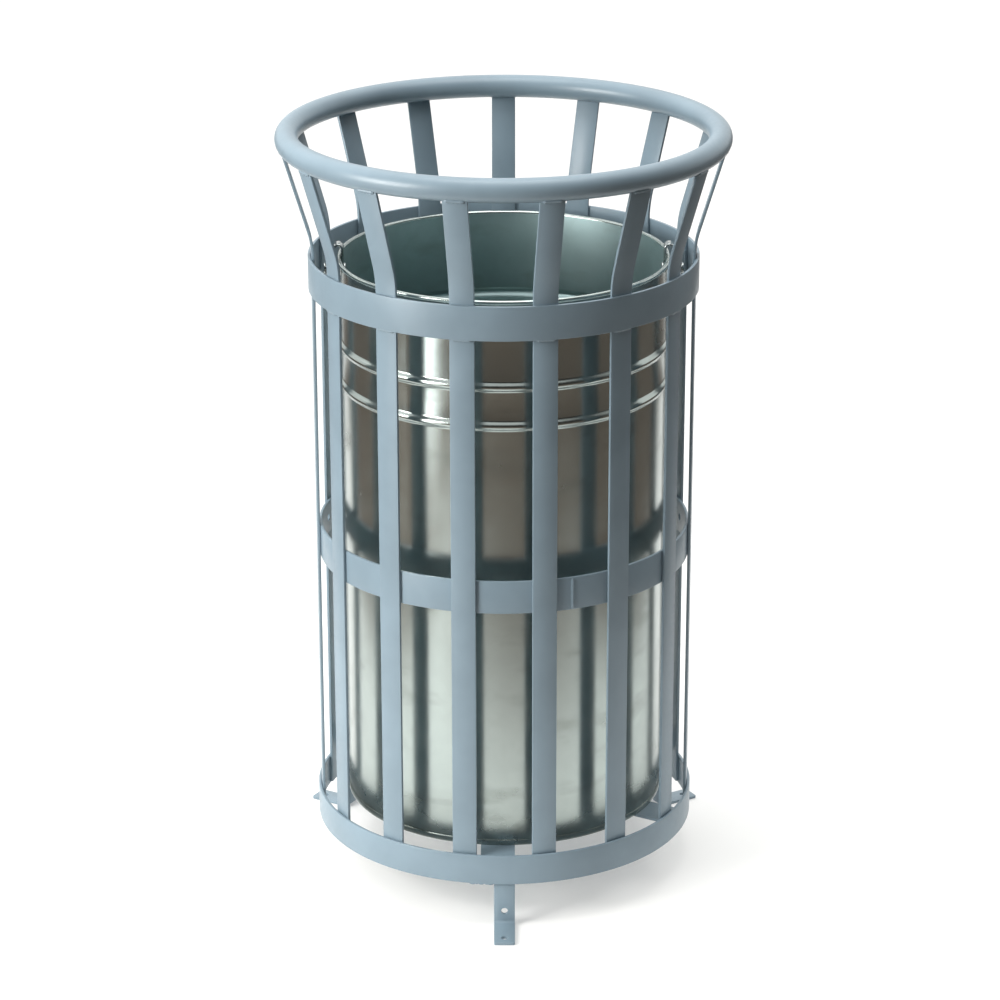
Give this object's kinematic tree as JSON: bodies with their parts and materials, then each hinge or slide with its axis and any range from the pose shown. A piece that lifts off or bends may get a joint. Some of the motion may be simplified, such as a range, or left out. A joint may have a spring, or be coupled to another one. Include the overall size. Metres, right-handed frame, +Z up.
{
  "type": "litter bin",
  "caption": "Round outdoor litter bin: flared slatted steel cage on bolt-down feet, with a lift-out galvanised liner that has a swing bail.",
  "frame": {"origin": "on the floor, at the centre of the circle of the three foot bolts, which is the axis of the bin", "axes": "+Z up along the axis of the bin, -Y towards the front foot, +X to the right seen from the front"},
  "size_m": [0.4619, 0.473, 0.8],
  "materials": {
    "powder_coat": "satin blue-grey powder coat",
    "galvanised_sheet": "hot-dip galvanised sheet, bright",
    "zinc_wire": "bright zinc plate"
  },
  "bodies": {
    "cage": {"top_ring": "powder_coat", "upper_band": "powder_coat", "middle_band": "powder_coat", "lower_band": "powder_coat", "slat_01": "powder_coat", "slat_02": "powder_coat", "slat_03": "powder_coat", "slat_04": "powder_coat", "slat_05": "powder_coat", "slat_06": "powder_coat", "slat_07": "powder_coat", "slat_08": "powder_coat", "slat_09": "powder_coat", "slat_10": "powder_coat", "slat_11": "powder_coat", "slat_12": "powder_coat", "slat_13": "powder_coat", "slat_14": "powder_coat", "slat_15": "powder_coat", "base_bar": "powder_coat", "base_arm_back_right": "powder_coat", "base_arm_back_left": "powder_coat", "base_arm_front_right": "powder_coat", "foot_front": "powder_coat", "foot_right": "powder_coat", "foot_left": "powder_coat"},
    "liner": {"liner_wall": "galvanised_sheet", "liner_rim_wire": "zinc_wire", "liner_base": "galvanised_sheet", "liner_ear_right": "zinc_wire", "liner_ear_left": "zinc_wire", "liner_pin_right": "zinc_wire", "liner_pin_left": "zinc_wire"},
    "bail": {"bail": "zinc_wire"}
  },
  "joints": [
    {"name": "liner_lift", "type": "slide", "parent": "cage", "child": "liner", "axis": [0, 0, 1], "range_m": [0, 0.75]},
    {"name": "bail_swing", "type": "hinge", "parent": "liner", "child": "bail", "pos_m": [0, 0, 0.649], "axis": [1, 0, 0], "range_deg": [0, 218]}
  ]
}
